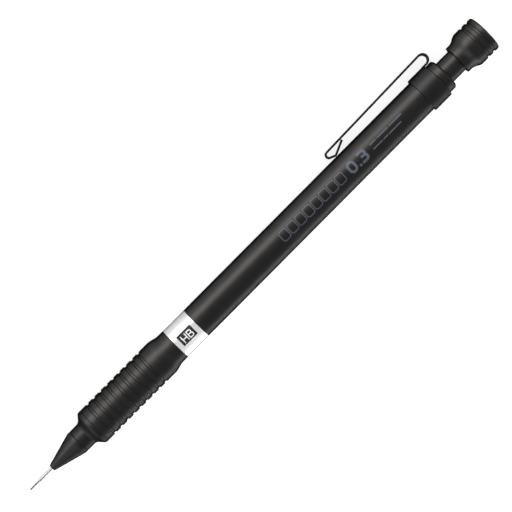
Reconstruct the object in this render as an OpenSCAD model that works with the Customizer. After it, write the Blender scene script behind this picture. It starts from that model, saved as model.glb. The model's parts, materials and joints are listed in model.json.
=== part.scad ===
// Drafting mechanical pencil, lying on its side with its clip against the surface.
// Each sub-part is drawn round the Z axis, with the guide pipe's mouth at z = 0 and the cap at the far
// end. There +X points to the clip and +Y to the printed side. lay_down() then puts it in the part's own
// frame: the tip towards +X, the printed side up and towards -Y, the origin under the middle of the box.

/* [Tip] */
// Diameter of the lead
lead_d = 0.38; // [0.3:0.01:0.4]
// Length of one lead
lead_l = 60; // [50:1:60]
// Length of lead outside the guide pipe
lead_out = 2.8; // [0.5:0.1:4]
// Diameter of the guide pipe
pipe_d = 0.76; // [0.7:0.01:0.9]
// Length of the guide pipe outside the cone
pipe_l = 4.2; // [3:0.1:5]
// Length of the nose cone without its spigot
nose_l = 8.8; // [8.4:0.1:10]
// Diameter of the nose cone's small end
nose_tip_d = 1.65; // [1.5:0.05:2.2]
// Diameter of the nose cone's large end
nose_d = 6.0; // [5.8:0.05:6.2]
// Length of the ferrule between the cone and the grip
ferrule_l = 5.25; // [5:0.05:6]

/* [Grip] */
// Diameter of the grip over its ribs
grip_d = 9.4; // [9:0.05:10]
// Length of the grip
grip_l = 25.95; // [25:0.05:28]
// Number of grooves
groove_count = 9; // [5:1:9]
// Distance from one groove to the next
groove_pitch = 2.04; // [1.8:0.02:2.1]
// Width of a groove at its mouth
groove_w = 0.8; // [0.4:0.05:1]
// Depth of a groove
groove_depth = 0.26; // [0.1:0.01:0.4]

/* [Grade ring] */
// Diameter of the silver ring
ring_d = 8.24; // [8:0.02:8.4]
// Length of the silver ring
ring_l = 6.8; // [6.4:0.1:7.2]
// Length of the window along the pencil
window_l = 4.2; // [3.5:0.1:4.4]
// Width of the window
window_w = 2.95; // [2:0.05:3.2]
// Angle of the window's middle past the printed side
window_turn = 8; // [0:1:20]

/* [Barrel] */
// Diameter of the barrel
barrel_d = 8.2; // [8:0.05:8.3]
// Length of the barrel without its end bush
barrel_l = 78.3; // [74:0.1:84]
// Length of the end bush's flange
flange_l = 2.1; // [1.6:0.1:2.6]

/* [Clip] */
// Length of the clip's band
band_l = 5.15; // [4.5:0.05:6]
// Thickness of the spring steel
strip_t = 0.5; // [0.4:0.05:0.55]
// Width of the clip's strip
strip_w = 2.5; // [2:0.1:3]
// Radius of the bend's middle line
bend_r = 1.29; // [1.2:0.01:1.35]
// Length of the arm from the bend's centre to the loop's far end
arm_l = 31.4; // [28:0.1:34]
// Drop of the arm towards the barrel over its length
arm_drop = 0.69; // [0.5:0.01:0.8]

/* [Push cap] */
// Diameter of the neck
neck_d = 5.8; // [5.6:0.05:5.9]
// Length of neck that shows
neck_l = 4.2; // [4:0.1:5]
// Length of the cap
cap_l = 9.0; // [8.5:0.1:11]
// Diameter of the cap's skirt
skirt_d = 7.45; // [7.1:0.05:7.6]
// Travel of the cap when it is pressed
press_l = 3.2; // [2.5:0.1:3.4]

/* [Hidden] */
$fn = 96;
// clearances: between turning or sliding pieces, and between end faces
run = 0.05;
seam = 0.05;
// root of the guide pipe, a cone that widens inside the nose, and its whole length
pipe_root_r = 0.6;
pipe_flare_l = 0.6;
pipe_root_l = 5.8;

// stations along the pencil
nose_z = pipe_l;
ferrule_z = nose_z + nose_l;
grip_z = ferrule_z + ferrule_l;
ring_z = grip_z + grip_l;
barrel_z = ring_z + ring_l;
flange_z = barrel_z + barrel_l;
band_z = flange_z - band_l - seam;
neck_z = flange_z + flange_l;
cap_z = neck_z + neck_l;
end_z = cap_z + cap_l;

// core tube and nose spigot
spigot_r = 2.5;
core_r = 3.1;
core_bore_r = spigot_r + 0.03;
core_rear_bore_r = 2.35;
core_z = ferrule_z + 3.6;
core_rear_z = barrel_z + 10;
barrel_wall = 0.5;
spigot_l = 7.3;
cavity_r = 1.9;
clutch_cavity_r = 2.05;
clutch_cavity_z = ferrule_z + 4;

// chuck, its ring and its seat
clutch_r = 1.95;
clutch_l = 2.5;
clutch_z = clutch_cavity_z + 1;
chuck_z = ferrule_z + press_l + 0.4;
chuck_head_r = 1.3;
chuck_neck_r = 0.95;
stem_r = 0.78;
grip_bore_r = lead_d / 2 + 0.02;
stem_bore_r = 0.45;
jaw_l = 8.4;
jaw_gap = 10;
head_l = 0.8;
cone_l = 2.6;
cone_end_z = chuck_z + head_l + cone_l;
seat_z = clutch_z + clutch_l;
seat_l = 3.5;
spring_z = seat_z + seat_l;
flange_gap = 14;
connector_z = spring_z + flange_gap;
connector_l = 9;
connector_flange_l = 1.2;

// magazine and push tube
tube_r = 1.8;
tube_bore_r = 1.4;
tube_z = connector_z + 3;
tube_l = 81;
push_r = neck_d / 2;
push_z = tube_z + tube_l - 10;
push_shoulder_z = cap_z + 0.7;
push_end_z = end_z - 2.6;
push_spigot_r = 2.55;
cup_r = 2.2;
eraser_r = 1.95;
cup_z = cap_z - 5.1;
cup_l = 9;
eraser_l = 12;
needle_r = 0.13;
needle_l = 15;

// clip, drawn in the plane of its strip: x is along the pencil and y is away from its middle line
band_r = barrel_d / 2 + 0.51;
bend_z = flange_z + 0.7;
bend_h = band_r - 0.19 + bend_r;
arm_h = bend_h + bend_r;
arm_turn = atan(arm_drop / arm_l);
loop_r = 0.742;
loop_z = bend_z - arm_l + strip_t / 2 + loop_r;
loop_h = arm_h - arm_drop - loop_r;
loop_end = 248;
heel_r = 0.35;
heel_h = barrel_d / 2 + strip_t / 2 + 0.03 + heel_r;
heel_rise = 24;

// resting angle of the clip below the horizontal, and the place of the origin
arm_top = arm_h + strip_t / 2;
clip_reach = norm([arm_top, strip_w / 2]);
clip_angle = asin(grip_d / 2 / clip_reach) - atan(strip_w / 2 / arm_top);
shift_x = (end_z - lead_out) / 2;
shift_y = (arm_top * cos(clip_angle) + strip_w / 2 * sin(clip_angle) - grip_d / 2) / 2;

// ---------- helpers ----------

module lay_down() {
    translate([shift_x, shift_y, grip_d / 2])
        rotate([90 + clip_angle, 0, 0])
            rotate([0, -90, 0])
                children();
}

// a body of revolution from points [radius, station]
module turned(points) {
    rotate_extrude() polygon(points);
}

// a plain tube from station z0 to z1
module tube(outer_r, inner_r, z0, z1) {
    turned([[inner_r, z0], [outer_r, z0], [outer_r, z1], [inner_r, z1]]);
}

// points of a smooth S from [r0, z0] to [r1, z1], both ends running along the pencil; a lean above 1
// moves the steep part towards z1
function s_curve(r0, z0, r1, z1, lean = 1, steps = 8) = [
    for (i = [0 : steps])
        let (t = i / steps)
        [r0 + (r1 - r0) * (1 - cos(180 * pow(t, lean))) / 2, z0 + (z1 - z0) * t]
];

// points of a turned groove with rounded shoulders, from its first edge to its last
function groove(r, z, steps = 6) = [
    for (i = [0 : steps])
        let (t = i / steps)
        [r - groove_depth * sin(180 * t), z + groove_w * (t - 0.5)]
];

function arc(centre, r, a0, a1, steps) = [
    for (i = [0 : steps])
        let (a = a0 + (a1 - a0) * i / steps)
        [centre[0] + r * cos(a), centre[1] + r * sin(a)]
];

function unit(v) = v / norm(v);

// the outline of a strip of thickness t along a middle line
function strip_side(path, offset) = [
    for (i = [0 : len(path) - 1])
        let (ahead = path[min(i + 1, len(path) - 1)])
        let (behind = path[max(i - 1, 0)])
        let (along = unit(ahead - behind))
        path[i] + offset * [-along[1], along[0]]
];

function strip_outline(path, t) = concat(
    strip_side(path, t / 2),
    [for (i = [len(path) - 1 : -1 : 0]) strip_side(path, -t / 2)[i]]
);

// a strip of the clip from its outline in [station, height]
module clip_strip(path) {
    translate([0, strip_w / 2, 0])
        rotate([90, 0, 0])
            linear_extrude(strip_w)
                polygon([for (p = strip_outline(path, strip_t)) [p[1], p[0]]]);
}

// ---------- lead ----------

module lead() {
    color("dimgray") lay_down()
        translate([0, 0, -lead_out]) cylinder(d = lead_d, h = lead_l);
}

module spare_leads() {
    spread = 0.8;
    color("dimgray") lay_down()
        for (i = [0 : 2])
            rotate([0, 0, 120 * i + 60])
                translate([spread, 0, connector_z + connector_l + 0.6]) cylinder(d = lead_d, h = lead_l);
}

// ---------- nose ----------

module guide_pipe() {
    r = pipe_d / 2;
    bore = lead_d / 2 + 0.03;
    rear = pipe_l + pipe_root_l;
    color("silver") lay_down()
        turned([
            [bore, 0], [r, 0], [r, pipe_l], [pipe_root_r, pipe_l + pipe_flare_l], [pipe_root_r, rear],
            [bore + 0.15, rear], [bore, rear - 0.3]
        ]);
}

module lead_retainer() {
    z = pipe_l + pipe_root_l;
    color("ivory") lay_down()
        turned([
            [grip_bore_r, z + 0.4], [0.4, z], [1, z], [1, z + 2.4], [0.6, z + 2.4], [grip_bore_r, z + 1.6]
        ]);
}

module nose_cone() {
    cone_end = nose_z + 7.95;
    round_r = 0.2;
    tip_r = nose_tip_d / 2;
    pocket_z = pipe_l + pipe_root_l;
    r = nose_d / 2;
    rear = ferrule_z + spigot_l;
    color("#33353a") lay_down()
        turned(concat(
            [[pipe_root_r, pocket_z], [pipe_root_r, nose_z + pipe_flare_l], [pipe_d / 2, nose_z]],
            arc([tip_r - round_r, nose_z + round_r], round_r, -90, -15, 3),
            [
                [r - 0.05, cone_end - 0.15], [r, cone_end + 0.1], [r, ferrule_z - 0.2],
                [r - 0.15, ferrule_z - seam], [spigot_r, ferrule_z - seam], [spigot_r, rear],
                [clutch_cavity_r, rear], [clutch_cavity_r, clutch_cavity_z], [cavity_r, clutch_cavity_z],
                [cavity_r, ferrule_z], [1, pocket_z + 2.5], [1, pocket_z]
            ]
        ));
}

module front_ferrule() {
    r0 = nose_d / 2;
    r1 = grip_d / 2;
    flare_z = ferrule_z + 1.9;
    rim_z = ferrule_z + 4.4;
    lean = 1.35;
    color("#33353a") lay_down()
        turned(concat(
            [[core_bore_r, ferrule_z], [r0 - 0.15, ferrule_z], [r0, ferrule_z + 0.15]],
            s_curve(r0, flare_z, r1, rim_z, lean),
            [
                [r1, grip_z - 0.25], [r1 - 0.15, grip_z - seam], [core_r, grip_z - seam],
                [core_r, core_z], [core_bore_r, core_z]
            ]
        ));
}

// ---------- grip and core ----------

module core_tube() {
    color("goldenrod") lay_down()
        turned([
            [core_bore_r, core_z], [core_r, core_z], [core_r, core_rear_z], [core_rear_bore_r, core_rear_z],
            [core_rear_bore_r, spring_z], [core_bore_r, spring_z]
        ]);
}

module grip_sleeve() {
    r1 = grip_d / 2;
    tail_r = ring_d / 2 + 0.03;
    first = grip_z + 1.98;
    curve_z = ring_z - 4.6;
    curve_end_z = ring_z - 1.5;
    color("#3a3a38") lay_down()
        turned(concat(
            [[core_r, grip_z], [r1 - 0.15, grip_z], [r1, grip_z + 0.2]],
            [for (i = [0 : groove_count - 1]) each groove(r1, first + i * groove_pitch)],
            s_curve(r1, curve_z, tail_r, curve_end_z),
            [[tail_r, ring_z - 0.08], [tail_r - 0.08, ring_z], [core_r, ring_z]]
        ));
}

// ---------- grade ring ----------

module grade_drum() {
    r = 3.7;
    notch_z = ring_z + 0.42;
    color("#141414") lay_down()
        turned([
            [core_r, ring_z + seam], [r, ring_z + seam], [r, notch_z], [r - 0.42, notch_z],
            [r - 0.42, notch_z + 0.54], [r, notch_z + 0.54], [r, barrel_z - seam], [core_r, barrel_z - seam]
        ]);
}

module ring_o_ring() {
    cord_r = 0.24;
    color("black") lay_down()
        translate([0, 0, ring_z + 0.69])
            rotate_extrude() translate([3.77 - cord_r, 0]) circle(r = cord_r, $fn = 24);
}

module grade_ring() {
    r = ring_d / 2;
    inner = 3.78;
    edge = 0.12;
    middle = (ring_z + barrel_z) / 2;
    z0 = ring_z + seam;
    z1 = barrel_z - seam;
    color("silver") lay_down()
        difference() {
            turned([[inner, z0], [r - edge, z0], [r, z0 + edge], [r, z1 - edge], [r - edge, z1], [inner, z1]]);
            rotate([0, 0, window_turn])
                translate([-window_w / 2, 2, middle - window_l / 2]) cube([window_w, 4, window_l]);
        }
}

// ---------- chuck ----------

// one jaw of the collet, a sector that ends at the root of the slits
module chuck_jaw(turn) {
    root_z = chuck_z + jaw_l;
    bore_z = chuck_z + head_l + 1.6;
    color("#c9a24a") lay_down()
        rotate([0, 0, turn + jaw_gap / 2])
            rotate_extrude(angle = 120 - jaw_gap)
                polygon([
                    [grip_bore_r + 0.25, chuck_z], [chuck_head_r, chuck_z], [chuck_head_r, chuck_z + head_l],
                    [chuck_neck_r, cone_end_z], [stem_r, cone_end_z + 0.1], [stem_r, root_z - 0.02],
                    [stem_bore_r, root_z - 0.02], [stem_bore_r, bore_z + 0.3], [grip_bore_r, bore_z],
                    [grip_bore_r, chuck_z + 0.25]
                ]);
}

module chuck_jaw_1() { chuck_jaw(0); }
module chuck_jaw_2() { chuck_jaw(120); }
module chuck_jaw_3() { chuck_jaw(240); }

module chuck_stem() {
    root_z = chuck_z + jaw_l;
    thread_r = 1.2;
    thread_z = connector_z + 0.4;
    color("#c9a24a") lay_down()
        turned([
            [stem_bore_r, root_z], [stem_r, root_z], [stem_r, thread_z], [thread_r, thread_z],
            [thread_r, thread_z + 3], [stem_bore_r, thread_z + 3]
        ]);
}

module clutch_ring() {
    z0 = clutch_z;
    slope = (chuck_head_r - chuck_neck_r) / cone_l;
    front_r = chuck_head_r - slope * (clutch_z - chuck_z - head_l) + 0.03;
    rear_r = chuck_neck_r + 0.03;
    color("#b98d33") lay_down()
        turned([
            [front_r, z0], [clutch_r - 0.15, z0], [clutch_r, z0 + 0.15], [clutch_r, seat_z - seam],
            [rear_r, seat_z - seam], [rear_r, cone_end_z]
        ]);
}

module seat_sleeve() {
    color("#b98d33") lay_down()
        tube(core_bore_r, 1, seat_z, spring_z);
}

// the spring's wire, swept round a helix
module return_spring() {
    turns = 8;
    wire_r = 0.16;
    coil_r = 1.6;
    sides = 6;
    per_turn = 16;
    rings = turns * per_turn;
    z0 = spring_z + wire_r + 0.02;
    rise = flange_gap - 2 * wire_r - 0.04;
    points = [
        for (i = [0 : rings])
            let (a = 360 * i / per_turn)
            let (z = z0 + rise * i / rings)
            for (j = [0 : sides - 1])
                let (b = 360 * j / sides)
                let (r = coil_r + wire_r * cos(b))
                [r * cos(a), r * sin(a), z + wire_r * sin(b)]
    ];
    walls = [
        for (i = [0 : rings - 1], j = [0 : sides - 1])
            let (k = (j + 1) % sides)
            [i * sides + j, (i + 1) * sides + j, (i + 1) * sides + k, i * sides + k]
    ];
    first_end = [for (j = [0 : sides - 1]) j];
    last_end = [for (j = [sides - 1 : -1 : 0]) rings * sides + j];
    color("lightgray") lay_down()
        polyhedron(points = points, faces = concat([first_end], walls, [last_end]));
}

// ---------- magazine and push tube ----------

module connector() {
    thread_r = 1.2;
    z = connector_z;
    color("#c9a24a") lay_down()
        turned([
            [stem_r, z], [2.2, z], [2.2, z + connector_flange_l], [1.7, z + connector_flange_l],
            [1.7, tube_z], [tube_bore_r, tube_z], [tube_bore_r, z + connector_l],
            [tube_bore_r - 0.15, z + connector_l], [stem_bore_r, z + 4.6], [stem_bore_r, z + 3.4],
            [thread_r, z + 3.4], [thread_r, z + 0.4], [stem_r, z + 0.4]
        ]);
}

module lead_tube() {
    color("#d8d8d2") lay_down()
        tube(tube_r, tube_bore_r, tube_z, tube_z + tube_l);
}

module push_tube() {
    color("#3a3a38") lay_down()
        turned([
            [tube_r, push_z], [push_r, push_z], [push_r, push_shoulder_z], [push_spigot_r, push_shoulder_z],
            [push_spigot_r, push_end_z - 0.3], [push_spigot_r - 0.2, push_end_z],
            [cup_r + run, push_end_z], [cup_r + run, cup_z - 6.5], [tube_bore_r, cup_z - 6.5],
            [tube_bore_r, tube_z + tube_l], [tube_r, tube_z + tube_l]
        ]);
}

module eraser_holder() {
    base = 0.7;
    color("silver") lay_down()
        turned([
            [needle_r, cup_z], [cup_r - 0.2, cup_z], [cup_r, cup_z + 0.2], [cup_r, cup_z + cup_l],
            [eraser_r, cup_z + cup_l], [eraser_r, cup_z + base], [needle_r, cup_z + base]
        ]);
}

module cleaning_needle() {
    color("lightgray") lay_down()
        translate([0, 0, cup_z - needle_l + 0.7]) cylinder(r = needle_r, h = needle_l, $fn = 24);
}

module eraser() {
    z = cup_z + 0.7;
    edge = 0.3;
    color("white") lay_down()
        turned([
            [0, z], [eraser_r, z], [eraser_r, z + eraser_l - edge], [eraser_r - edge, z + eraser_l],
            [0, z + eraser_l]
        ]);
}

module push_cap() {
    r1 = grip_d / 2;
    skirt_r = skirt_d / 2;
    flare_z = cap_z + 1.05;
    rim_z = cap_z + 3.7;
    edge = 0.7;
    counter_r = push_r + run;
    bore_r = push_spigot_r + run;
    color("#3a3a38") lay_down()
        turned(concat(
            [[counter_r, cap_z], [skirt_r - 0.1, cap_z], [skirt_r, cap_z + 0.1]],
            s_curve(skirt_r, flare_z, r1, rim_z),
            groove(r1, cap_z + 5.7),
            groove(r1, cap_z + 7.4),
            arc([r1 - edge, end_z - edge], edge, 0, 90, 5),
            [
                [0, end_z], [0, end_z - 1], [bore_r, end_z - 1], [bore_r, push_shoulder_z + 0.1],
                [counter_r, push_shoulder_z + 0.1]
            ]
        ));
}

// ---------- barrel and clip ----------

module barrel() {
    r = barrel_d / 2;
    edge = 0.06;
    color("#3a3a38") lay_down()
        turned([
            [core_r, barrel_z], [r - edge, barrel_z], [r, barrel_z + edge], [r, flange_z],
            [r - barrel_wall, flange_z], [r - barrel_wall, core_rear_z], [core_r, core_rear_z]
        ]);
}

module end_bush() {
    r = barrel_d / 2;
    plug_z = flange_z - 8;
    edge = 0.4;
    color("#3a3a38") lay_down()
        turned([
            [push_r + run, plug_z], [r - barrel_wall, plug_z], [r - barrel_wall, flange_z], [r, flange_z],
            [r, neck_z - edge], [r - edge, neck_z], [push_r + run, neck_z]
        ]);
}

module clip_band() {
    inner = barrel_d / 2 + 0.01;
    edge = 0.25;
    z1 = band_z + band_l;
    foot_h = bend_h - bend_r;
    color("#2b2c30") lay_down() {
        turned([
            [inner, band_z], [band_r - edge, band_z], [band_r, band_z + edge], [band_r, z1 - edge],
            [band_r - edge, z1], [inner, z1]
        ]);
        clip_strip(concat([[z1 - 0.6, foot_h]], arc([bend_z, bend_h], bend_r, -90, 0, 9)));
    }
}

module clip_arm() {
    heel_start = loop_end - 270;
    loop_exit = arc([loop_z, loop_h], loop_r, loop_end, loop_end, 1)[0];
    heel_low = heel_h - heel_r * cos(heel_start);
    heel_z = loop_exit[0] + (loop_exit[1] - heel_low) / tan(-heel_start) - heel_r * sin(heel_start);
    tail_l = 3.42;
    hook = [0.2, 0.12];
    first_turn = 2;
    tail_start = [heel_z + heel_r * sin(heel_rise), heel_h - heel_r * cos(heel_rise)];
    tail_end = tail_start + tail_l * [cos(heel_rise), sin(heel_rise)];
    color("#2b2c30") lay_down()
        clip_strip(concat(
            arc([bend_z, bend_h], bend_r, first_turn, 90 + arm_turn, 9),
            arc([loop_z, loop_h], loop_r, 90 + arm_turn, loop_end, 12),
            arc([heel_z, heel_h], heel_r, 270 + heel_start, 270 + heel_rise, 6),
            [tail_end, tail_end + hook]
        ));
}

lead();
spare_leads();
guide_pipe();
lead_retainer();
nose_cone();
front_ferrule();
core_tube();
chuck_jaw_1();
chuck_jaw_2();
chuck_jaw_3();
chuck_stem();
clutch_ring();
seat_sleeve();
return_spring();
connector();
lead_tube();
grip_sleeve();
grade_ring();
grade_drum();
ring_o_ring();
barrel();
end_bush();
clip_band();
clip_arm();
push_tube();
eraser_holder();
cleaning_needle();
eraser();
push_cap();
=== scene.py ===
"""Looks for the mechanical pencil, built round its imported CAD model."""
import json
import math

import bmesh
import bpy
from mathutils import Matrix, Vector


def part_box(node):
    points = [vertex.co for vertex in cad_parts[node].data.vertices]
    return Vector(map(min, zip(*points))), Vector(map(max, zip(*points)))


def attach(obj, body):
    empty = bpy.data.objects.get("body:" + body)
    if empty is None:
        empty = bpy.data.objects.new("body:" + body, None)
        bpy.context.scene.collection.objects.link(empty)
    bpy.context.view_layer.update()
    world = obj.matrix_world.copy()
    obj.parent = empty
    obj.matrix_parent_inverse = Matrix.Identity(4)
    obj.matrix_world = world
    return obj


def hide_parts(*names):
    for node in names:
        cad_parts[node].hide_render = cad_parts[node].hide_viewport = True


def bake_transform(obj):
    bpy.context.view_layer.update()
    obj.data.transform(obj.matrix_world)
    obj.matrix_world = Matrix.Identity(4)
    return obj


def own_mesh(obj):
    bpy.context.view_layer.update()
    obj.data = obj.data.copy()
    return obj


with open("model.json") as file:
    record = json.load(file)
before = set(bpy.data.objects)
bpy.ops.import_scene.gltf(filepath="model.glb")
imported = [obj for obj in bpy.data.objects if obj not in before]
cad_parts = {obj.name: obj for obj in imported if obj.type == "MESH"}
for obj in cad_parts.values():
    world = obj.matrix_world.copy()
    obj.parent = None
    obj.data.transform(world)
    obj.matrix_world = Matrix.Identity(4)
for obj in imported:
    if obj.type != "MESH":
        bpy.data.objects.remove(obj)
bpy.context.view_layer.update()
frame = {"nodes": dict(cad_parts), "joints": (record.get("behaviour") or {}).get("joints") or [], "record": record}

MM = 0.001
TAU = 2 * math.pi

# ---------- the pencil's own frame ----------
# A piece is drawn in mm: s along the pencil from the guide pipe's mouth to the cap, h towards the clip,
# and p towards the printed side. The record's pipe mount and clip hinge say where these lie. Radii, lengths
# and places of the pieces follow the CAD model, and places are counted from the end of a CAD node.
joints = {j["name"]: j for j in frame["joints"]}
mounts = {m["name"]: m for m in frame["record"]["mounts"]}
ALONG = Vector((-1, 0, 0))
PRINT_SIDE = -Vector(joints["clip_flex"]["axis"])
CLIP_SIDE = PRINT_SIDE.cross(ALONG)
MOUTH = Vector((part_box("guide_pipe")[1].x, *mounts["guide_pipe"]["pos_m"][1:]))


def at(s, h=0.0, p=0.0):
    """World point of a point given in mm along the pencil, towards the clip and towards the print."""
    return MOUTH + (ALONG * s + CLIP_SIDE * h + PRINT_SIDE * p) * MM


def station(node):
    """First and last station of a CAD node, in mm from the guide pipe's mouth."""
    low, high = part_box(node)
    return (MOUTH.x - high.x) / MM, (MOUTH.x - low.x) / MM


# ---------- materials ----------
def new_material(name):
    """A fresh material with its nodes, its links and its shader."""
    mat = bpy.data.materials.new(name)
    mat.use_nodes = True
    nodes = mat.node_tree.nodes
    return mat, nodes, mat.node_tree.links, nodes["Principled BSDF"]


def noise(nodes, links, scale, detail, stretch=(1, 1, 1)):
    """Noise in the piece's own space, in cycles per mm. stretch scales it along x, y and z."""
    coords = nodes.new("ShaderNodeTexCoord")
    mapping = nodes.new("ShaderNodeMapping")
    mapping.inputs["Scale"].default_value = stretch
    links.new(coords.outputs["Object"], mapping.inputs["Vector"])
    tex = nodes.new("ShaderNodeTexNoise")
    tex.inputs["Scale"].default_value = scale / MM
    tex.inputs["Detail"].default_value = detail
    links.new(mapping.outputs["Vector"], tex.inputs["Vector"])
    return tex.outputs["Fac"]


def spread(nodes, links, value, low, high, start=0.3, end=0.7):
    """A 0 to 1 value mapped to low..high between start and end."""
    ramp = nodes.new("ShaderNodeMapRange")
    ramp.inputs["From Min"].default_value = start
    ramp.inputs["From Max"].default_value = end
    ramp.inputs["To Min"].default_value = low
    ramp.inputs["To Max"].default_value = high
    links.new(value, ramp.inputs["Value"])
    return ramp.outputs["Result"]


def tint(nodes, links, value, low, high):
    """Colour between low and high as value goes from 0 to 1."""
    mix = nodes.new("ShaderNodeMix")
    mix.data_type = "RGBA"
    mix.inputs["A"].default_value = (*low, 1)
    mix.inputs["B"].default_value = (*high, 1)
    links.new(value, mix.inputs["Factor"])
    return mix.outputs["Result"]


def bump(nodes, links, shader, height, strength, distance):
    """Bump from a 0 to 1 height, with its distance in mm."""
    node = nodes.new("ShaderNodeBump")
    node.inputs["Strength"].default_value = strength
    node.inputs["Distance"].default_value = distance * MM
    links.new(height, node.inputs["Height"])
    links.new(node.outputs["Normal"], shader.inputs["Normal"])


TURNED = (1, 0.02, 0.02)
FINE_DETAIL, BROAD_DETAIL = 2.0, 3.0


def surface(name, low, high, rough, metallic, grain, edge=None, mottle=0.35, stretch=(1, 1, 1),
            bump_by=(0.15, 0.01), level=0.5):
    """A procedural finish: colour mottled between low and high, roughness between two values, and a fine
    grain that also gives the bump. edge is the tint seen at a grazing angle. With the TURNED stretch the
    grain is drawn out round the pencil."""
    mat, nodes, links, shader = new_material(name)
    fine = noise(nodes, links, grain, FINE_DETAIL, stretch)
    broad = noise(nodes, links, mottle, BROAD_DETAIL)
    shader.inputs["Metallic"].default_value = metallic
    shader.inputs["Specular IOR Level"].default_value = level
    if edge is not None:
        shader.inputs["Specular Tint"].default_value = (*edge, 1)
    # the mean of the fine and the broad noise
    half = nodes.new("ShaderNodeMath")
    half.operation = "MULTIPLY"
    half.inputs[1].default_value = 0.5
    links.new(broad, half.inputs[0])
    mean = nodes.new("ShaderNodeMath")
    mean.operation = "MULTIPLY_ADD"
    mean.inputs[1].default_value = 0.5
    links.new(fine, mean.inputs[0])
    links.new(half.outputs[0], mean.inputs[2])
    share = spread(nodes, links, mean.outputs[0], 0, 1)
    links.new(tint(nodes, links, share, low, high), shader.inputs["Base Color"])
    links.new(spread(nodes, links, mean.outputs[0], *rough), shader.inputs["Roughness"])
    bump(nodes, links, shader, fine, *bump_by)
    return mat


DARK_EDGE = (0.0, 0.0, 0.0)
BLACK_PAINT = surface("satin_black_paint", (0.032, 0.0315, 0.031), (0.042, 0.041, 0.040), (0.36, 0.43),
                      metallic=1.0, grain=11.0, edge=(0.05, 0.05, 0.05))
BLUE_PAINT = surface("blue_black_paint", (0.027, 0.0272, 0.0278), (0.035, 0.0353, 0.0361), (0.40, 0.47),
                     metallic=1.0, grain=11.0, edge=(0.07, 0.07, 0.071))
CLIP_PAINT = surface("clip_black_paint", (0.022, 0.0225, 0.024), (0.030, 0.031, 0.033), (0.34, 0.42),
                     metallic=1.0, grain=9.0, edge=(0.04, 0.04, 0.045))
SATIN_SILVER = surface("satin_silver", (0.48, 0.48, 0.49), (0.56, 0.56, 0.57), (0.32, 0.40),
                       metallic=1.0, grain=14.0, edge=DARK_EDGE)
PIPE_STEEL = surface("pipe_steel", (0.34, 0.33, 0.32), (0.41, 0.40, 0.385), (0.26, 0.34),
                     metallic=1.0, grain=16.0, edge=DARK_EDGE, stretch=TURNED, bump_by=(0.2, 0.002))
SPRING_STEEL = surface("spring_steel", (0.55, 0.55, 0.56), (0.68, 0.68, 0.67), (0.22, 0.34),
                       metallic=1.0, grain=12.0)
BRASS = surface("turned_brass", (0.66, 0.47, 0.21), (0.80, 0.60, 0.30), (0.22, 0.36),
                metallic=1.0, grain=10.0, stretch=TURNED, bump_by=(0.25, 0.004))
DRUM_BLACK = surface("drum_black", (0.009, 0.009, 0.010), (0.016, 0.016, 0.017), (0.38, 0.46),
                     metallic=0.0, grain=10.0)
TUBE_PLASTIC = surface("tube_plastic", (0.60, 0.60, 0.57), (0.70, 0.70, 0.67), (0.30, 0.40),
                       metallic=0.0, grain=3.0)
RETAINER = surface("retainer_rubber", (0.42, 0.36, 0.28), (0.52, 0.46, 0.37), (0.55, 0.65),
                   metallic=0.0, grain=6.0)
BLACK_RUBBER = surface("black_rubber", (0.012, 0.012, 0.012), (0.022, 0.022, 0.022), (0.55, 0.66),
                       metallic=0.0, grain=8.0)
ERASER = surface("eraser_white", (0.80, 0.79, 0.76), (0.90, 0.89, 0.87), (0.62, 0.74),
                 metallic=0.0, grain=5.0, mottle=0.8, bump_by=(0.35, 0.03))
GRAPHITE = surface("graphite", (0.055, 0.056, 0.060), (0.11, 0.11, 0.12), (0.30, 0.45),
                   metallic=0.35, grain=14.0, mottle=2.0, stretch=TURNED, bump_by=(0.25, 0.004))
INK_GREY = surface("ink_grey_blue", (0.058, 0.066, 0.086), (0.084, 0.094, 0.122), (0.48, 0.58),
                   metallic=0.0, grain=12.0, level=0.3)
INK_WHITE = surface("ink_white", (0.72, 0.72, 0.72), (0.84, 0.84, 0.84), (0.48, 0.58),
                    metallic=0.0, grain=12.0, level=0.3)


# ---------- mesh building ----------
TINY = 1e-6
FILLET_STEPS, CURVE_STEPS = 5, 14
FILLET_SHARE = 0.48  # of a side, at most, that the fillet at either end of it takes up


def add_object(name, data):
    """A new object in the scene, from its mesh, light or camera."""
    obj = bpy.data.objects.new(name, data)
    bpy.context.scene.collection.objects.link(obj)
    return obj


def finish_mesh(name, bm, material, body, replaced=(), sharp=32.0):
    """Turns a bmesh into a smooth-shaded piece that rides on a body and stands for CAD nodes."""
    bmesh.ops.recalc_face_normals(bm, faces=bm.faces)
    mesh = bpy.data.meshes.new(name)
    bm.to_mesh(mesh)
    bm.free()
    mesh.shade_smooth()
    mesh.set_sharp_from_angle(angle=math.radians(sharp))
    mesh.materials.append(material)
    obj = add_object(name, mesh)
    if body:
        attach(obj, body)
    if replaced:
        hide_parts(*replaced)
    return obj


def rounded(outline):
    """A closed outline of (s, r) or (s, r, fillet) with its filleted corners rounded."""
    points = []
    count = len(outline)
    for i, corner in enumerate(outline):
        here = Vector(corner[:2])
        fillet = corner[2] if len(corner) > 2 else 0
        before, after = Vector(outline[i - 1][:2]), Vector(outline[(i + 1) % count][:2])
        back, ahead = before - here, after - here
        if not fillet or min(back.length, ahead.length) < TINY:
            points.append(here)
            continue
        bend = math.pi - back.angle(ahead)
        reach = min(fillet * math.tan(bend / 2), back.length * FILLET_SHARE, ahead.length * FILLET_SHARE)
        first, last = here + back.normalized() * reach, here + ahead.normalized() * reach
        for k in range(FILLET_STEPS + 1):
            t = k / FILLET_STEPS
            points.append(first * (1 - t) ** 2 + here * 2 * t * (1 - t) + last * t * t)
    return points


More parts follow.
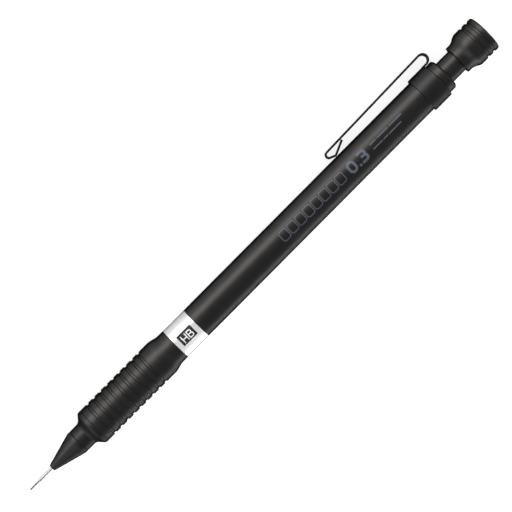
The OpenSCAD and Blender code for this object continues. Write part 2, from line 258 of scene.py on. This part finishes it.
def s_curve(s0, r0, s1, r1, lean=1.0):
    """Points of a smooth S from (s0, r0) to (s1, r1), both ends running along the pencil."""
    points = []
    for i in range(CURVE_STEPS + 1):
        t = i / CURVE_STEPS
        points.append((s0 + (s1 - s0) * t, r0 + (r1 - r0) * (1 - math.cos(math.pi * t ** lean)) / 2))
    return points


GROOVE_W, GROOVE_DEPTH, GROOVE_SLOPE, GROOVE_ROOT = 0.8, 0.26, 0.13, 0.05


def groove(middle, r):
    """A turned groove with rounded shoulders and a rounded root."""
    first, last = middle - GROOVE_W / 2, middle + GROOVE_W / 2
    return [(first, r, GROOVE_SLOPE), (first + GROOVE_SLOPE, r - GROOVE_DEPTH, GROOVE_ROOT),
            (last - GROOVE_SLOPE, r - GROOVE_DEPTH, GROOVE_ROOT), (last, r, GROOVE_SLOPE)]


def circle(s, r, sides):
    """World points on a circle round the pencil, or the one point on its axis."""
    if r < TINY:
        return [at(s)]
    return [at(s, r * math.cos(TAU * j / sides), r * math.sin(TAU * j / sides)) for j in range(sides)]


def turn(name, outline, material, body, replaced, sides=144):
    """A body of revolution from a closed outline of stations and radii in mm."""
    bm = bmesh.new()
    rings = [[bm.verts.new(point) for point in circle(s, r, sides)] for s, r in rounded(outline)]
    for ring, other in zip(rings, rings[1:] + rings[:1]):
        for j in range(sides):
            k = (j + 1) % sides
            corners = [ring[j % len(ring)], ring[k % len(ring)], other[k % len(other)], other[j % len(other)]]
            unique = list(dict.fromkeys(corners))
            if len(unique) > 2:
                bm.faces.new(unique)
    return finish_mesh(name, bm, material, body, replaced)


def join_rings(bm, rings, closed=False):
    """Faces between neighbouring rings, with a flat face at either end unless the sweep is closed."""
    pairs = list(zip(rings, rings[1:]))
    if closed:
        pairs.append((rings[-1], rings[0]))
    for a, b in pairs:
        for j in range(len(a)):
            k = (j + 1) % len(a)
            bm.faces.new([a[j], a[k], b[k], b[j]])
    if not closed:
        bm.faces.new(rings[0][::-1])
        bm.faces.new(rings[-1])


# ---------- nose ----------
LEAD_R = 0.19
lead_first, lead_last = station("lead")
turn("lead_turned", [(lead_first, 0), (lead_first, LEAD_R, 0.07), (lead_last, LEAD_R, 0.03), (lead_last, 0)],
     GRAPHITE, "lead", ["lead"], sides=48)

PIPE_R, PIPE_BORE, PIPE_OUT = 0.38, 0.22, 4.2
SHANK_R, SHANK_TAPER = 0.6, 0.6
FUNNEL_R, FUNNEL_L = 0.37, 0.3
pipe_first, pipe_last = station("guide_pipe")
pipe_root = pipe_first + PIPE_OUT
turn("guide_pipe_turned",
     [(pipe_first, PIPE_BORE, 0.03), (pipe_first, PIPE_R, 0.07), (pipe_root, PIPE_R),
      (pipe_root + SHANK_TAPER, SHANK_R), (pipe_last, SHANK_R), (pipe_last, FUNNEL_R),
      (pipe_last - FUNNEL_L, PIPE_BORE)],
     PIPE_STEEL, "nose", ["guide_pipe"], sides=64)

NOSE_R, TIP_R, SPIGOT_R, CONE_L = 3.0, 0.825, 2.5, 7.95
SEAM, PIPE_FIT, SHANK_FIT = 0.05, 0.004, 0.005
SPIGOT_BORE, NOSE_BORE, BORE_STEP = 2.05, 1.9, 4.0
POCKET_R, POCKET_L, POCKET_PLACE = 1.0, 2.5, 5.8
THREAD_PITCH, THREAD_DEPTH, THREAD_END = 0.5, 0.13, 0.6
PLAIN_L, LEAD_IN = 0.5, 0.05
nose_first, nose_last = station("nose_cone")
ferrule_first, ferrule_last = station("front_ferrule")
pocket = nose_first + POCKET_PLACE


def thread(first, last, r):
    """Crests and roots of a fine screw thread, each turn of it drawn as a ring."""
    points = []
    for i in range(int((last - first) / THREAD_PITCH)):
        s = first + i * THREAD_PITCH
        points += [(s, r, 0.02), (s + THREAD_PITCH * 0.4, r - THREAD_DEPTH, 0.02),
                   (s + THREAD_PITCH * 0.5, r - THREAD_DEPTH, 0.02), (s + THREAD_PITCH * 0.9, r, 0.02)]
    return points


turn("nose_cone_turned",
     [(nose_first, PIPE_R + PIPE_FIT), (nose_first, TIP_R, 0.2), (nose_first + CONE_L, NOSE_R, 1.2),
      (ferrule_first - SEAM, NOSE_R, 0.16), (ferrule_first - SEAM, SPIGOT_R, 0.05),
      (ferrule_first + PLAIN_L, SPIGOT_R)] +
     thread(ferrule_first + THREAD_END, nose_last - THREAD_END, SPIGOT_R) +
     [(nose_last, SPIGOT_R - LEAD_IN, 0.15), (nose_last, SPIGOT_BORE, 0.1),
      (ferrule_first + BORE_STEP, SPIGOT_BORE), (ferrule_first + BORE_STEP, NOSE_BORE),
      (ferrule_first, NOSE_BORE), (pocket + POCKET_L, POCKET_R), (pocket, POCKET_R),
      (pocket, SHANK_R + SHANK_FIT), (nose_first + SHANK_TAPER, SHANK_R + SHANK_FIT)],
     BLUE_PAINT, "nose", ["nose_cone"])

# ---------- ferrule, grip ----------
GRIP_R, CORE_R, CORE_BORE, CORE_PLACE = 4.7, 3.1, 2.53, 3.6
FLARE_FIRST, FLARE_LAST, FLARE_LEAN, FLARE_FIT = 1.9, 4.4, 1.35, 0.005
core_first = ferrule_first + CORE_PLACE
turn("front_ferrule_turned",
     [(ferrule_first, CORE_BORE, 0.05), (ferrule_first, NOSE_R, 0.14)] +
     s_curve(ferrule_first + FLARE_FIRST, NOSE_R, ferrule_first + FLARE_LAST, GRIP_R - FLARE_FIT,
             FLARE_LEAN) +
     [(ferrule_last, GRIP_R, 0.12), (ferrule_last, CORE_R), (core_first, CORE_R), (core_first, CORE_BORE)],
     BLUE_PAINT, "body", ["front_ferrule"])

TAIL_R, WAIST_FIRST, WAIST_LAST = 4.15, 4.6, 1.5
GROOVE_PLACE, GROOVE_PITCH, GROOVES = 1.98, 2.04, 9
grip_first, grip_last = station("grip_sleeve")
grip_outline = [(grip_first, CORE_R), (grip_first, GRIP_R, 0.12)]
for i in range(GROOVES):
    grip_outline += groove(grip_first + GROOVE_PLACE + i * GROOVE_PITCH, GRIP_R)
grip_outline += s_curve(grip_last - WAIST_FIRST, GRIP_R, grip_last - WAIST_LAST, TAIL_R)
grip_outline += [(grip_last, TAIL_R, 0.08), (grip_last, CORE_R)]
turn("grip_sleeve_turned", grip_outline, BLACK_PAINT, "body", ["grip_sleeve"])

# ---------- grade ring and drum ----------
RING_R, RING_BORE, RING_BEVEL, RING_INSET = 4.12, 3.78, 0.07, 0.001
WINDOW_L, WINDOW_W, WINDOW_TURN = 4.2, 2.95, math.radians(8)
WINDOW_ROWS, WINDOW_COLUMNS, OTHER_COLUMNS = 8, 12, 132
ring_first, ring_last = station("grade_ring")
ring_middle = (ring_first + ring_last) / 2


def on_cylinder(s, r, angle):
    """World point on a cylinder round the pencil, at an angle from the print side and away from the clip."""
    return at(s, -r * math.sin(angle), r * math.cos(angle))


def ring_walls():
    """Ring as a solid: outer, inner, end and window walls, with the window as a hole in the grid."""
    bm = bmesh.new()
    half = WINDOW_W / 2 / RING_R
    rest = TAU - 2 * half
    angles = [-half + 2 * half * i / WINDOW_COLUMNS for i in range(WINDOW_COLUMNS + 1)]
    angles += [half + rest * (i + 1) / (OTHER_COLUMNS + 1) for i in range(OTHER_COLUMNS)]
    window_first = ring_middle - WINDOW_L / 2
    stations = [ring_first + RING_INSET]
    stations += [window_first + WINDOW_L * i / WINDOW_ROWS for i in range(WINDOW_ROWS + 1)]
    stations.append(ring_last - RING_INSET)

    def grid(r):
        return [[bm.verts.new(on_cylinder(s, r, a + WINDOW_TURN)) for a in angles] for s in stations]

    outer, inner = grid(RING_R), grid(RING_BORE)
    last = len(stations) - 1
    for i in range(last):
        for j in range(len(angles)):
            k = (j + 1) % len(angles)
            if 1 <= i < last - 1 and j < WINDOW_COLUMNS:
                continue
            bm.faces.new([outer[i][j], outer[i][k], outer[i + 1][k], outer[i + 1][j]])
            bm.faces.new([inner[i][j], inner[i + 1][j], inner[i + 1][k], inner[i][k]])
    for j in range(len(angles)):
        k = (j + 1) % len(angles)
        bm.faces.new([outer[0][j], inner[0][j], inner[0][k], outer[0][k]])
        bm.faces.new([outer[last][j], outer[last][k], inner[last][k], inner[last][j]])
    for j in range(WINDOW_COLUMNS):
        for i in (1, last - 1):
            bm.faces.new([outer[i][j], outer[i][j + 1], inner[i][j + 1], inner[i][j]])
    for i in range(1, last - 1):
        for j in (0, WINDOW_COLUMNS):
            bm.faces.new([outer[i][j], outer[i + 1][j], inner[i + 1][j], inner[i][j]])
    return bm


ring = finish_mesh("grade_ring_turned", ring_walls(), SATIN_SILVER, "grade_ring",
                   ["grade_ring"])
softened = ring.modifiers.new("softened edges", "BEVEL")
softened.width = RING_BEVEL * MM
softened.segments = 3
softened.limit_method = "ANGLE"
softened.angle_limit = math.radians(50)

DRUM_R, DRUM_GROOVE_FIRST, DRUM_GROOVE_LAST, DRUM_GROOVE_DEPTH = 3.70, 0.37, 0.91, 0.42
drum_first, drum_last = station("grade_drum")
drum_root = DRUM_R - DRUM_GROOVE_DEPTH
turn("grade_drum_turned",
     [(drum_first, CORE_R), (drum_first, DRUM_R, 0.1), (drum_first + DRUM_GROOVE_FIRST, DRUM_R, 0.05),
      (drum_first + DRUM_GROOVE_FIRST, drum_root, 0.05), (drum_first + DRUM_GROOVE_LAST, drum_root, 0.05),
      (drum_first + DRUM_GROOVE_LAST, DRUM_R, 0.05), (drum_last, DRUM_R, 0.1), (drum_last, CORE_R)],
     DRUM_BLACK, "body", ["grade_drum"])

# ---------- barrel, bush ----------
BARREL_R, BARREL_WALL, BARREL_CUTS, CORE_SOCKET = 4.1, 0.5, 24, 10
barrel_first, barrel_last = station("barrel")
barrel_bore = BARREL_R - BARREL_WALL
barrel_cut = (barrel_last - barrel_first) / BARREL_CUTS
turn("barrel_turned",
     [(barrel_first, CORE_R), (barrel_first, BARREL_R, 0.1)] +
     [(barrel_first + barrel_cut * i, BARREL_R) for i in range(1, BARREL_CUTS)] +
     [(barrel_last, BARREL_R, 0.08), (barrel_last, barrel_bore), (barrel_first + CORE_SOCKET, barrel_bore),
      (barrel_first + CORE_SOCKET, CORE_R)],
     BLACK_PAINT, "body", ["barrel"])

PUSH_R, RUN, FLANGE_GAP, FLANGE_EDGE = 2.9, 0.05, 0.02, 0.4
bush_first, bush_last = station("end_bush")
flange_first = barrel_last + FLANGE_GAP
turn("end_bush_turned",
     [(bush_first, PUSH_R + RUN), (bush_first, barrel_bore), (flange_first, barrel_bore),
      (flange_first, BARREL_R, 0.08), (bush_last - FLANGE_EDGE, BARREL_R, 0.22),
      (bush_last, BARREL_R - FLANGE_EDGE, 0.22), (bush_last, PUSH_R + RUN, 0.08)],
     BLACK_PAINT, "body", ["end_bush"])

# ---------- push tube, cap ----------
PUSH_SPIGOT_R, SPIGOT_EDGE_R, SPIGOT_EDGE_L, SHOULDER_PLACE = 2.55, 2.35, 0.3, 0.7
CUP_R, CUP_SOCKET, TUBE_R, TUBE_BORE = 2.2, 6.5, 1.8, 1.4
cap_first, cap_last = station("push_cap")
push_first, push_last = station("push_tube")
cup_first, cup_last = station("eraser_holder")
tube_last = station("lead_tube")[1]
shoulder = cap_first + SHOULDER_PLACE
socket_first = cup_first - CUP_SOCKET
turn("push_tube_turned",
     [(push_first, TUBE_R), (push_first, PUSH_R, 0.1), (shoulder, PUSH_R, 0.1),
      (shoulder, PUSH_SPIGOT_R, 0.05), (push_last - SPIGOT_EDGE_L, PUSH_SPIGOT_R),
      (push_last, SPIGOT_EDGE_R, 0.05), (push_last, CUP_R + RUN, 0.05), (socket_first, CUP_R + RUN),
      (socket_first, TUBE_BORE), (tube_last, TUBE_BORE), (tube_last, TUBE_R)],
     BLACK_PAINT, "push_unit", ["push_tube"])

SKIRT_R, CAP_FLARE_FIRST, CAP_FLARE_LAST, CAP_GROOVES = 3.725, 1.05, 3.7, (5.7, 7.4)
CAP_EDGE, CAP_END_T, SHOULDER_GAP = 0.7, 1, 0.1
cap_outline = [(cap_first, PUSH_R + RUN, 0.08), (cap_first, SKIRT_R, 0.14)]
cap_outline += s_curve(cap_first + CAP_FLARE_FIRST, SKIRT_R, cap_first + CAP_FLARE_LAST, GRIP_R)
for place in CAP_GROOVES:
    cap_outline += groove(cap_first + place, GRIP_R)
cap_outline += [(cap_last, GRIP_R, CAP_EDGE), (cap_last, 0), (cap_last - CAP_END_T, 0),
                (cap_last - CAP_END_T, PUSH_SPIGOT_R + RUN, 0.1),
                (shoulder + SHOULDER_GAP, PUSH_SPIGOT_R + RUN), (shoulder + SHOULDER_GAP, PUSH_R + RUN)]
turn("push_cap_turned", cap_outline, BLACK_PAINT, "cap", ["push_cap"])

# ---------- clip ----------
BAND_R, BAND_GAP, BAND_EDGE = 4.61, 0.01, 0.05
band_first = station("clip_band")[0]
turn("clip_band_turned",
     [(band_first, BARREL_R + BAND_GAP), (band_first, BAND_R, 0.2), (barrel_last - BAND_EDGE, BAND_R, 0.2),
      (barrel_last - BAND_EDGE, BARREL_R + BAND_GAP)],
     BLUE_PAINT, "body", ["clip_band"])


def heading(degrees):
    """Unit vector in the clip's plane, turned from the cap's way towards the clip."""
    return Vector((math.cos(math.radians(degrees)), math.sin(math.radians(degrees))))


def arc(centre, r, first, last, steps):
    """Points of an arc in the clip's plane, from one angle in degrees to another."""
    return [centre + heading(first + (last - first) * i / steps) * r for i in range(steps + 1)]


def between(start, end, steps):
    """The points that cut a straight stretch into steps, without its ends."""
    return [start.lerp(end, i / steps) for i in range(1, steps)]


STRIP_T, STRIP_W, STRIP_CORNER, STRIP_SHARP = 0.5, 2.5, 0.1, 45


def strip(name, path):
    """The clip's formed strip: a rectangle with rounded corners swept along a path in the clip's plane."""
    section = []
    for x, y, first in ((1, 1, 0), (-1, 1, 90), (-1, -1, 180), (1, -1, 270)):
        corner = Vector((x * (STRIP_W / 2 - STRIP_CORNER), y * (STRIP_T / 2 - STRIP_CORNER)))
        section += arc(corner, STRIP_CORNER, first, first + 90, 3)
    bm = bmesh.new()
    rings = []
    for i, point in enumerate(path):
        along = (path[min(i + 1, len(path) - 1)] - path[max(i - 1, 0)]).normalized()
        across = Vector((-along.y, along.x))
        rings.append([bm.verts.new(at(*(point + across * thick), wide)) for wide, thick in section])
    join_rings(bm, rings)
    return finish_mesh(name, bm, CLIP_PAINT, None, ["clip_arm"], STRIP_SHARP)


BEND_R, BEND_PLACE, BEND_SINK = 1.29, 8.7, 0.19
ARM_L, ARM_DROP = 31.4, 0.69
LOOP_R, LOOP_END = 0.742, 248
HEEL_R, HEEL_GAP, TAIL_RISE, TAIL_L = 0.35, 0.03, 24, 3.42
TAIL_TIP = Vector((0.2, 0.12))
FOOT_FIRST, FOOT_LAST = 0.6, 0.1
bend = Vector((bush_first + BEND_PLACE, BAND_R - BEND_SINK + BEND_R))
foot_h = bend.y - BEND_R
arm_turn = 90 + math.degrees(math.atan(ARM_DROP / ARM_L))
loop = Vector((bend.x - ARM_L + STRIP_T / 2 + LOOP_R, bend.y + BEND_R - ARM_DROP - LOOP_R))
arm_first = bend + heading(arm_turn) * BEND_R
arm_last = loop + heading(arm_turn) * LOOP_R
loop_exit = loop + heading(LOOP_END) * LOOP_R

# the heel is the small bend that bears on the barrel, where the strip turns up into its tail
slope = math.radians(270 - LOOP_END)
heel_h = BARREL_R + STRIP_T / 2 + HEEL_GAP + HEEL_R
heel_low = heel_h - HEEL_R * math.cos(slope)
heel = Vector((loop_exit.x + (loop_exit.y - heel_low) / math.tan(slope) + HEEL_R * math.sin(slope), heel_h))
heel_first, heel_last = heel + heading(LOOP_END) * HEEL_R, heel + heading(270 + TAIL_RISE) * HEEL_R
tail_end = heel_last + heading(TAIL_RISE) * TAIL_L

path = [Vector((barrel_last - FOOT_FIRST, foot_h)), Vector((barrel_last - FOOT_LAST, foot_h))]
path += arc(bend, BEND_R, -90, arm_turn, 28)
path += between(arm_first, arm_last, 24)
path += arc(loop, LOOP_R, arm_turn, LOOP_END, 22)
path += between(loop_exit, heel_first, 4)
path += arc(heel, HEEL_R, LOOP_END, 270 + TAIL_RISE, 9)
path += between(heel_last, tail_end, 8)
path += [tail_end, tail_end + TAIL_TIP]
clip = strip("clip_strip_formed", path)
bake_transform(clip)

# ---------- markings ----------
# each sign: its width, then its lines, as parts of the letter height from its lower left corner
GLYPHS = {
    "H": (0.72, [[(0, 0), (0, 1)], [(0.72, 0), (0.72, 1)], [(0, 0.5), (0.72, 0.5)]]),
    "B": (0.68, [[(0, 0), (0, 1), (0.46, 1), (0.62, 0.9), (0.62, 0.62), (0.48, 0.52), (0, 0.52)],
                 [(0, 0), (0.5, 0), (0.68, 0.12), (0.68, 0.4), (0.5, 0.52)]]),
    "F": (0.62, [[(0, 0), (0, 1), (0.62, 1)], [(0, 0.52), (0.52, 0.52)]]),
    "2": (0.66, [[(0, 0.78), (0.12, 0.95), (0.33, 1), (0.54, 0.95), (0.66, 0.76), (0.6, 0.56),
                  (0, 0), (0.66, 0)]]),
    "0": (0.70, [[(0.2, 0), (0, 0.2), (0, 0.8), (0.2, 1), (0.5, 1), (0.7, 0.8), (0.7, 0.2),
                  (0.5, 0), (0.2, 0)]]),
    "3": (0.66, [[(0, 1), (0.5, 1), (0.66, 0.86), (0.66, 0.64), (0.5, 0.52), (0.2, 0.52)],
                 [(0.5, 0.52), (0.66, 0.38), (0.66, 0.14), (0.5, 0), (0, 0)]]),
    ".": (0.0, [[(0, 0), (0, 0.001)]]),
}
INK_THICK = 0.012
LINE_STEP = 0.16
SHARPEST = 0.6  # the least cosine that a mitred corner is drawn out for


def cut_line(points, closed):
    """The points of a line with more added between them, so that it bends round the pencil."""
    fine = []
    ends = points[1:] + points[:1] if closed else points[1:]
    for a, b in zip(points, ends):
        parts = max(1, int((b - a).length / LINE_STEP))
        fine += [a.lerp(b, k / parts) for k in range(parts)]
    return fine if closed else fine + points[-1:]


def ribbon(bm, points, width, r, closed=False):
    """One inked or inlaid line, wrapped on a cylinder of radius r. Points are (station, arc) in mm."""
    fine = cut_line([Vector(q) for q in points], closed)
    last = len(fine) - 1
    rails = []
    for i, q in enumerate(fine):
        before = (q - fine[i - 1] if closed or i > 0 else fine[1] - q).normalized()
        after = (fine[(i + 1) % len(fine)] - q).normalized() if closed or i < last else before
        square = Vector((-before.y, before.x))
        normal = square + Vector((-after.y, after.x))
        if normal.length < TINY:
            normal = square.copy()
        normal.normalize()
        side = normal * (width / 2 / max(SHARPEST, normal.dot(square)))
        if not closed and i == 0:
            q = q - before * (width / 2)
        if not closed and i == last:
            q = q + before * (width / 2)
        left, right = q + side, q - side
        top, foot = r + INK_THICK, r - INK_THICK
        rails.append([bm.verts.new(on_cylinder(edge.x, radius, edge.y / radius))
                      for edge, radius in ((left, top), (right, top), (right, foot), (left, foot))])
    join_rings(bm, rails, closed)


def text_length(text, height, stroke, gap, wide):
    """Length of a line of text, without the thickness of its strokes."""
    return sum(GLYPHS[sign][0] * height * wide + stroke + gap for sign in text) - gap - stroke


def write(bm, text, s, arc_middle, r, height, stroke, gap, wide):
    """Letters that read along the pencil towards the cap, their tops towards the clip."""
    for sign in text:
        width, lines = GLYPHS[sign]
        for line in lines:
            points = [(s + across * height * wide, arc_middle + (0.5 - rise) * (height - stroke))
                      for across, rise in line]
            ribbon(bm, points, stroke, r)
        s += width * height * wide + stroke + gap


# lead grades round the drum, the one in use under the window
GRADES = ("HB", "F", "H", "2H", "2B", "B")
GRADE_TURN = WINDOW_TURN + math.radians(2)
GRADE_LETTERS = {"height": 1.95, "stroke": 0.25, "gap": 0.28, "wide": 0.82}
grades = bmesh.new()
for i, grade in enumerate(GRADES):
    grade_s = ring_middle - text_length(grade, **GRADE_LETTERS) / 2
    grade_arc = DRUM_R * (GRADE_TURN + TAU * i / len(GRADES))
    write(grades, grade, grade_s, grade_arc, DRUM_R, **GRADE_LETTERS)
finish_mesh("grade_marks", grades, INK_WHITE, "body")

# print on the barrel: a plain row of outlined bars, the lead size, and two rows of dashes
BAR_FIRST, BAR_LAST, BARS, BAR_GAP, BAR_STROKE = 78.4, 98.9, 8, 0.45, 0.19
BAR_TOP, BAR_FOOT, BAR_CORNER = -1.1, 1.42, 0.35
SIZE_TEXT, SIZE_S, SIZE_ARC = "0.3", 100.3, 0.12
SIZE_LETTERS = {"height": 3.0, "stroke": 0.62, "gap": 0.35, "wide": 0.8}
DASH_ROWS = {
    -0.55: ((107.6, 109.3), (109.9, 113.1), (113.7, 117.4)),
    0.75: ((107.6, 110.2), (110.8, 112.0), (112.6, 116.2)),
}
DASH_STROKE = 0.3
print_mesh = bmesh.new()
bar_pitch = (BAR_LAST - BAR_FIRST) / BARS
for i in range(BARS):
    a = BAR_FIRST + i * bar_pitch
    b = a + bar_pitch - BAR_GAP
    ribbon(print_mesh,
           [(a + BAR_CORNER, BAR_TOP), (b - BAR_CORNER, BAR_TOP), (b, BAR_TOP + BAR_CORNER),
            (b, BAR_FOOT - BAR_CORNER), (b - BAR_CORNER, BAR_FOOT), (a + BAR_CORNER, BAR_FOOT),
            (a, BAR_FOOT - BAR_CORNER), (a, BAR_TOP + BAR_CORNER)],
           BAR_STROKE, BARREL_R, closed=True)
write(print_mesh, SIZE_TEXT, SIZE_S, SIZE_ARC, BARREL_R, **SIZE_LETTERS)
for row, dashes in DASH_ROWS.items():
    for a, b in dashes:
        ribbon(print_mesh, [(a, row), (b, row)], DASH_STROKE, BARREL_R)
finish_mesh("barrel_print", print_mesh, INK_GREY, "body")

# ---------- inside ----------
SPRING_TURNS, SPRING_R, WIRE_R, WIRE_SIDES, STEPS_PER_TURN, SPRING_SHARP = 9, 1.6, 0.16, 12, 40, 50
spring_first, spring_last = station("return_spring")


def coil(name, first, last):
    """A coil spring swept as a round wire, its first and last turns lying closed."""
    bm = bmesh.new()
    rings = []
    steps = SPRING_TURNS * STEPS_PER_TURN
    dead = 1 / SPRING_TURNS
    for i in range(steps + 1):
        u = i / steps
        if u < dead:
            climb = WIRE_R * u / dead
        elif u > 1 - dead:
            climb = (last - first - 2 * WIRE_R) - WIRE_R * (1 - u) / dead
        else:
            climb = WIRE_R + (last - first - 4 * WIRE_R) * (u - dead) / (1 - 2 * dead)
        angle = TAU * i / STEPS_PER_TURN
        wire = []
        for j in range(WIRE_SIDES):
            b = TAU * j / WIRE_SIDES
            r = SPRING_R + WIRE_R * math.cos(b)
            s = first + WIRE_R + climb + WIRE_R * math.sin(b)
            wire.append(bm.verts.new(at(s, r * math.cos(angle), r * math.sin(angle))))
        rings.append(wire)
    join_rings(bm, rings)
    return finish_mesh(name, bm, SPRING_STEEL, "body", ["return_spring"], SPRING_SHARP)


spring = coil("return_spring_coiled", spring_first, spring_last)
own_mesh(spring)

ERASER_R, CUP_BORE, CUP_BASE, NEEDLE_HOLE = 1.95, 1.955, 0.7, 0.13
eraser_first, eraser_last = station("eraser")
turn("eraser_rounded",
     [(eraser_first, 0), (eraser_first, ERASER_R, 0.1), (eraser_last, ERASER_R, 0.45), (eraser_last, 0)],
     ERASER, "eraser_unit", ["eraser"], sides=96)
turn("eraser_holder_turned",
     [(cup_first, NEEDLE_HOLE), (cup_first, CUP_R, 0.3), (cup_last, CUP_R, 0.08), (cup_last, CUP_BORE, 0.05),
      (cup_first + CUP_BASE, CUP_BORE), (cup_first + CUP_BASE, NEEDLE_HOLE)],
     SPRING_STEEL, "eraser_unit", ["eraser_holder"], sides=96)

# pieces that keep the mesh of their CAD node
KEPT_NODES = {
    BRASS: ("core_tube", "chuck_stem", "chuck_jaw_1", "chuck_jaw_2", "chuck_jaw_3", "clutch_ring",
            "seat_sleeve", "connector"),
    TUBE_PLASTIC: ("lead_tube",),
    RETAINER: ("lead_retainer",),
    BLACK_RUBBER: ("ring_o_ring",),
    GRAPHITE: ("spare_leads",),
    SPRING_STEEL: ("cleaning_needle",),
}
for material, names in KEPT_NODES.items():
    for name in names:
        slots = frame["nodes"][name].data.materials
        slots.clear()
        slots.append(material)

# ---------- stage: floor, light, camera ----------
def light_group(name, member):
    """A collection that lights can be linked to, with one object in it."""
    group = bpy.data.collections.new(name)
    group.objects.link(member)
    return group


def posed(location, x_axis, y_axis, z_axis):
    """World matrix of an object that stands at a place with given axes."""
    return Matrix.Translation(location) @ Matrix((x_axis, y_axis, z_axis)).transposed().to_4x4()


FLOOR_HALF, FLOOR_ROUGH, FLOOR_LEVEL, FLOOR_GRAIN = 3.0, 0.9, 0.1, 0.004
FLOOR_LOW, FLOOR_HIGH = (0.90, 0.90, 0.90), (0.93, 0.93, 0.93)
floor_mesh = bmesh.new()
floor_mesh.faces.new([floor_mesh.verts.new((x * FLOOR_HALF, y * FLOOR_HALF, 0))
                      for x, y in ((-1, -1), (1, -1), (1, 1), (-1, 1))])
floor_data = bpy.data.meshes.new("floor")
floor_mesh.to_mesh(floor_data)
floor_mesh.free()
floor = add_object("floor", floor_data)
floor_material, nodes, links, shader = new_material("pale_floor")
shader.inputs["Roughness"].default_value = FLOOR_ROUGH
shader.inputs["Specular IOR Level"].default_value = FLOOR_LEVEL
speckle = noise(nodes, links, FLOOR_GRAIN, FINE_DETAIL)
links.new(tint(nodes, links, speckle, FLOOR_LOW, FLOOR_HIGH), shader.inputs["Base Color"])
floor_data.materials.append(floor_material)

# a studio with pale walls and a darker ceiling
WALL, CEILING, WALL_TOP, CEILING_FOOT = (1.0, 1.0, 1.0), (0.39, 0.395, 0.40), 0.04, 0.62
world = bpy.data.worlds.new("studio")
bpy.context.scene.world = world
world.use_nodes = True
nodes, links = world.node_tree.nodes, world.node_tree.links
direction = nodes.new("ShaderNodeTexCoord")
parts = nodes.new("ShaderNodeSeparateXYZ")
links.new(direction.outputs["Generated"], parts.inputs["Vector"])
height = spread(nodes, links, parts.outputs["Z"], 0, 1, WALL_TOP, CEILING_FOOT)
links.new(tint(nodes, links, height, WALL, CEILING), nodes["Background"].inputs["Color"])

# the softboxes light the pencil, and a lamp of its own lights the floor, so that the floor is pale right up
# to the pencil; one more box lights only the ring
floor_only = light_group("floor_only", floor)
ring_only = light_group("ring_only", ring)
all_but_floor = light_group("all_but_floor", floor)
all_but_floor.collection_objects[0].light_linking.link_state = "EXCLUDE"
MIDDLE = at(71)
WARM, WHITE, COOL = (1.0, 0.98, 0.95), (1, 1, 1), (0.97, 0.97, 1.0)


def softbox(name, direction, distance, width, height, radiance, colour=WHITE, receivers=all_but_floor):
    """A rectangular area light that faces the object from a direction, with a given radiance."""
    data = bpy.data.lights.new(name, "AREA")
    data.shape = "RECTANGLE"
    data.size, data.size_y = width, height
    data.energy = radiance * math.pi * width * height
    data.color = colour
    light = add_object(name, data)
    back = Vector(direction).normalized()
    side = Vector((0, 0, 1)).cross(back).normalized()
    light.matrix_world = posed(MIDDLE + back * distance, side, back.cross(side), back)
    light.light_linking.receiver_collection = receivers


softbox("front_box", (0, -0.938, 0.346), 0.42, 0.9, 0.24, 4.0, WARM)
softbox("back_box", (0, 0.985, 0.15), 0.5, 0.9, 0.19, 7.5, COOL)
softbox("cap_end_box", (-0.85, 0, 0.53), 0.6, 0.5, 0.5, 1.0)
softbox("tip_end_box", (0.85, 0, 0.53), 0.6, 0.5, 0.5, 1.0)
softbox("ring_box", (0, 0.21, 0.978), 0.9, 1.2, 1.7, 0.85, receivers=ring_only)

FLOOR_LIGHT, FLOOR_LIGHT_ANGLE = 2.8, math.radians(20)
fill_data = bpy.data.lights.new("floor_fill", "SUN")
fill_data.energy, fill_data.angle = FLOOR_LIGHT, FLOOR_LIGHT_ANGLE
fill = add_object("floor_fill", fill_data)
fill.light_linking.receiver_collection = floor_only
fill.light_linking.blocker_collection = floor_only

# the camera looks square at the printed side, turned so that the pencil crosses the frame
TILT, LENS, SENSOR, DISTANCE = math.radians(45.183), 175.3, 36, 0.57
LOOK_AT = at(71.44, 1.095)
right = ALONG * math.cos(TILT) - CLIP_SIDE * math.sin(TILT)
up = ALONG * math.sin(TILT) + CLIP_SIDE * math.cos(TILT)
camera_data = bpy.data.cameras.new("camera")
camera_data.lens, camera_data.sensor_width = LENS, SENSOR
camera_data.clip_start, camera_data.clip_end = 0.01, 10
camera = add_object("camera", camera_data)
camera.matrix_world = posed(LOOK_AT + PRINT_SIDE * DISTANCE, right, up, PRINT_SIDE)
bpy.context.scene.camera = camera
bpy.context.scene.view_settings.view_transform = "Standard"
